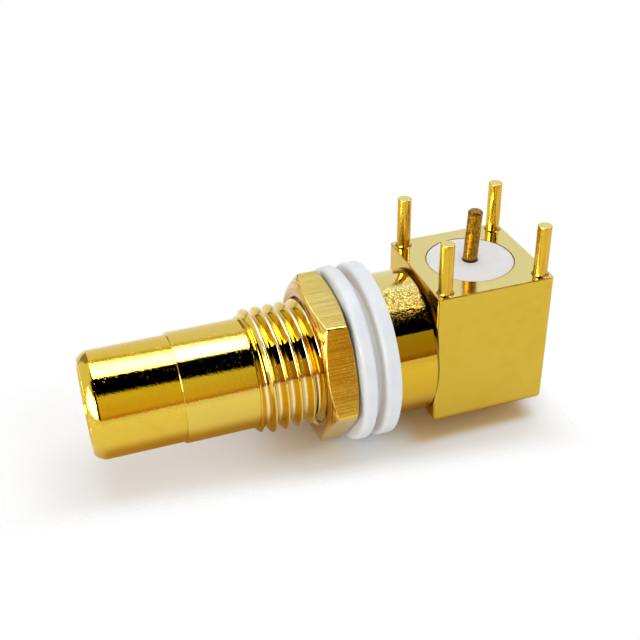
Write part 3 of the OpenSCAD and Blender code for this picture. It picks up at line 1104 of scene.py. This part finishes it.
def soft_lamps(studio):
    """Square lamps above, beside the camera and beyond the mouth, which light matte surfaces only."""
    for name, place, width, watts, tint in (
        ("overhead_lamp", (0.12, 0.05, 1.0), 0.8, studio.overhead_power, (1.0, 1.0, 1.0)),
        ("front_lamp", (-0.45, -0.9, 0.65), 0.6, studio.front_power, studio.lamp_tint),
        ("side_lamp", (-1.0, -0.3, 0.35), 0.5, studio.side_power, studio.lamp_tint),
    ):
        data = bpy.data.lights.new(name, "AREA")
        data.shape = "SQUARE"
        data.size = width
        data.energy = watts
        data.color = tint
        lamp = bpy.data.objects.new(name, data)
        lamp.location = place
        lamp.rotation_euler = (-Vector(place)).to_track_quat("-Z", "Y").to_euler()
        lamp.visible_glossy = False
        lamp.visible_camera = False
        bpy.context.scene.collection.objects.link(lamp)


def table_tone(studio, place, is_glossy):
    """The table's colour, with painted warm shadow under the block and the nut and, for metal only, painted
    shade along the part.
    """
    along, across = parted(place)[:2]
    nut_x = ((NUT_LOW.x + NUT_HIGH.x) / 2 - REAR_WASHER_HIGH.x) / MM
    aside = apart(across)
    cloud = grain(place, 0.05)
    tone = mixed(ramped(cloud, 0.3, 0.7), studio.floor, darker(studio.floor, 0.99))
    # Painted shadow under the block and the nut
    below_block = product(ramped(aside, 5.5, 4.2), band(along, 1.0, 3.5, 11.5, 13.6))
    below_nut = product(ramped(aside, 4.0, 1.5), band(along, -11.0, -7.0, -5.5, -3.5, 0.6))
    tone = mixed(arithmetic("ADD", below_block, below_nut), tone, studio.painted_shadow)
    # Painted shade of the table under the part, seen only in the metal
    beneath = product(ramped(aside, 8.0, 3.0), ramped(apart(along, -5.0), 22.0, 16.0),
                      ramped(apart(along, nut_x), 2.5, 5.0))
    return mixed(product(beneath, is_glossy), tone, studio.shade_in_metal)


def table_cover(place, is_camera):
    """Where the table shows: near the part, from above and, for the camera, only in the part's shade."""
    along, across = parted(place)[:2]
    from_above = without(tree_of(place).nodes.new("ShaderNodeNewGeometry").outputs["Backfacing"])
    ahead = arithmetic("ADD", across, arithmetic("MULTIPLY_ADD", along, 0.13, 8.6))
    # For the camera the shade fades into white away from the part, and under the barrel it is painted lighter
    # by letting a share of the white room through
    shade = product(ramped(ahead, 0.0, 3.5), ramped(across, 16.0, 9.0),
                    band(along, -32.0, -26.0, 13.0, 16.5),
                    ramped(apart(along, -16.0), 1.0, 12.0, 0.72, 1.0))
    white = product(is_camera, without(shade))
    near = ramped(hypotenuse(along, across), 110.0, 45.0)
    return product(from_above, near, without(white))


def table_top(studio):
    """A pale table under the washers. Its places are in millimetres from below the rear washer's back."""
    material, tree, shader = new_material("table_white")
    place = part_place(tree)
    rays = tree.nodes.new("ShaderNodeLightPath").outputs
    plug(shader.inputs["Base Color"], table_tone(studio, place, rays["Is Glossy Ray"]))
    plug(shader.inputs["Alpha"], table_cover(place, rays["Is Camera Ray"]))
    shader.inputs["Roughness"].default_value = 0.9
    shader.inputs["Specular IOR Level"].default_value = 0.1
    half = 120 * MM
    clearance = 0.03 * MM
    mesh = bpy.data.meshes.new("table_top")
    mesh.from_pydata([(-half, -half, 0.0), (half, -half, 0.0), (half, half, 0.0), (-half, half, 0.0)],
                     [], [(0, 1, 2, 3)])
    mesh.materials.append(material)
    table = bpy.data.objects.new("table_top", mesh)
    table.location = (REAR_WASHER_HIGH.x, 0.0, REAR_WASHER_LOW.z - clearance)
    bpy.context.scene.collection.objects.link(table)


def photo_camera(studio):
    """A camera at the photo's place and angle."""
    data = bpy.data.cameras.new("photo_camera")
    data.lens = studio.lens
    data.sensor_width = 36
    data.clip_start = 1 * MM
    data.clip_end = 10
    camera = bpy.data.objects.new("photo_camera", data)
    bpy.context.scene.collection.objects.link(camera)
    camera.matrix_world = Matrix.LocRotScale(studio.camera_place, Euler(studio.camera_turn), None)
    bpy.context.scene.camera = camera


class SOCKET_OT_stage(bpy.types.Operator):
    """Set the table, the light and the camera"""

    bl_idname = "socket.stage"
    bl_label = "Stage"

    def execute(self, context):
        studio = context.scene.socket.studio
        context.scene.view_settings.view_transform = "Standard"
        studio_room(studio)
        soft_lamps(studio)
        table_top(studio)
        photo_camera(studio)
        return {"FINISHED"}


PIECE_OPERATORS = (
    SOCKET_OT_shell, SOCKET_OT_block, SOCKET_OT_legs, SOCKET_OT_signal_pin,
    SOCKET_OT_insulators, SOCKET_OT_washers, SOCKET_OT_nut, SOCKET_OT_stage,
)


class SOCKET_PT_panel(bpy.types.Panel):
    """Lists the socket's pieces"""

    bl_idname = "SOCKET_PT_panel"
    bl_label = "Panel Phono Socket"
    bl_space_type = "VIEW_3D"
    bl_region_type = "UI"
    bl_category = "Socket"

    def draw(self, context):
        for operator in PIECE_OPERATORS:
            self.layout.operator(operator.bl_idname)


CLASSES = (
    ShellSizes, BlockSizes, LegSizes, BushSizes, NutSizes, Finishes, Studio, Socket,
    *PIECE_OPERATORS, SOCKET_PT_panel,
)


def register():
    for cls in CLASSES:
        bpy.utils.register_class(cls)
    bpy.types.Scene.socket = PointerProperty(type=Socket)


def unregister():
    del bpy.types.Scene.socket
    for cls in reversed(CLASSES):
        bpy.utils.unregister_class(cls)


def main():
    register()
    bpy.ops.socket.shell()
    bpy.ops.socket.block()
    bpy.ops.socket.legs()
    bpy.ops.socket.signal_pin()
    bpy.ops.socket.insulators()
    bpy.ops.socket.washers()
    bpy.ops.socket.nut()
    bpy.ops.socket.stage()


if __name__ == "__main__":
    main()
